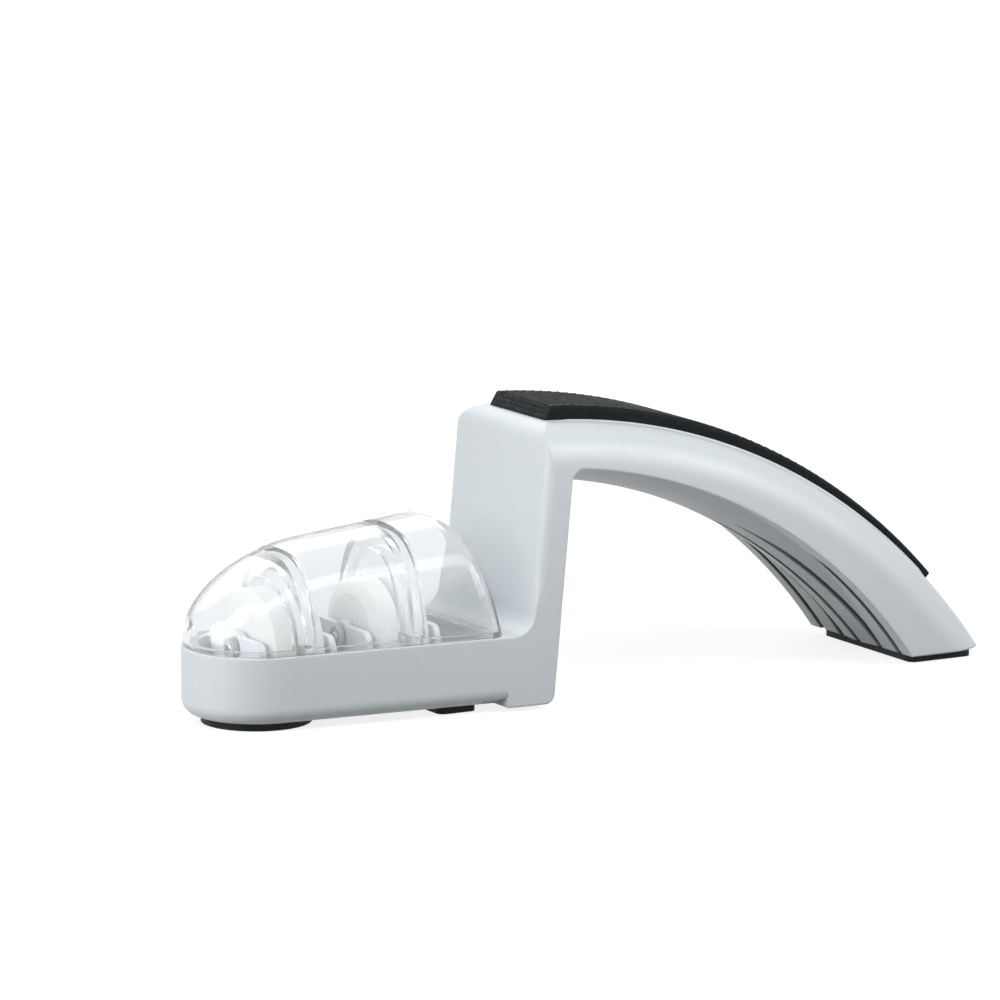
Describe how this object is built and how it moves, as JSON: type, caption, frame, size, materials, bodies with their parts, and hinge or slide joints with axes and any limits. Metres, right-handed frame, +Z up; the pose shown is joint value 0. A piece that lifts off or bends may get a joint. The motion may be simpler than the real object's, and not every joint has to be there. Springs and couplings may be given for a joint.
{
  "type": "water_wheel_knife_sharpener",
  "caption": "hand-held water trough knife sharpener with a grooved arch handle, a clear lift-off cover with guided blade slots and bevelled ceramic wheels on steel axles",
  "frame": {"origin": "middle of the length and width, on the ground plane under the feet", "axes": "+X from the trough's nose to the handle's tip, +Y across the slots' plane to the left of someone looking along +X, +Z up"},
  "size_m": [0.2566, 0.0558, 0.0864],
  "materials": {
    "body_grey": "fine satin grain with a faint speckle",
    "rubber_black": "soft matt rubber, dotted on the grip",
    "clear_plastic": "polished clear plastic",
    "ceramic_white": "fine-grained fired ceramic",
    "cradle_white": "smooth moulded plastic",
    "bush_grey": "plain bearing plastic",
    "steel": "ground bright steel"
  },
  "bodies": {
    "base": {"body_shell": "body_grey", "grip_pad": "rubber_black", "handle_foot_pad": "rubber_black", "nose_foot": "rubber_black", "rear_foot": "rubber_black", "coarse_cradle": "cradle_white", "coarse_bush_front": "bush_grey", "coarse_bush_rear": "bush_grey", "fine_cradle": "cradle_white", "fine_bush_front": "bush_grey", "fine_bush_rear": "bush_grey"},
    "cover": {"clear_cover": "clear_plastic"},
    "coarse_rotor": {"coarse_axle": "steel", "coarse_wheel_front": "ceramic_white", "coarse_wheel_rear": "ceramic_white", "coarse_spacer": "bush_grey", "coarse_collars": "bush_grey"},
    "fine_rotor": {"fine_axle": "steel", "fine_wheel_front": "ceramic_white", "fine_wheel_rear": "ceramic_white", "fine_spacer": "bush_grey", "fine_collars": "bush_grey"}
  },
  "joints": [
    {"name": "cover_lift", "type": "slide", "parent": "base", "child": "cover", "axis": [0, 0, 1], "range_m": [0, 0.05]},
    {"name": "coarse_wheel_spin", "type": "hinge", "parent": "base", "child": "coarse_rotor", "pos_m": [-0.1015, 0, 0.0218], "axis": [1, 0, 0], "continuous": true},
    {"name": "fine_wheel_spin", "type": "hinge", "parent": "base", "child": "fine_rotor", "pos_m": [-0.0674, 0, 0.0218], "axis": [1, 0, 0], "continuous": true}
  ]
}
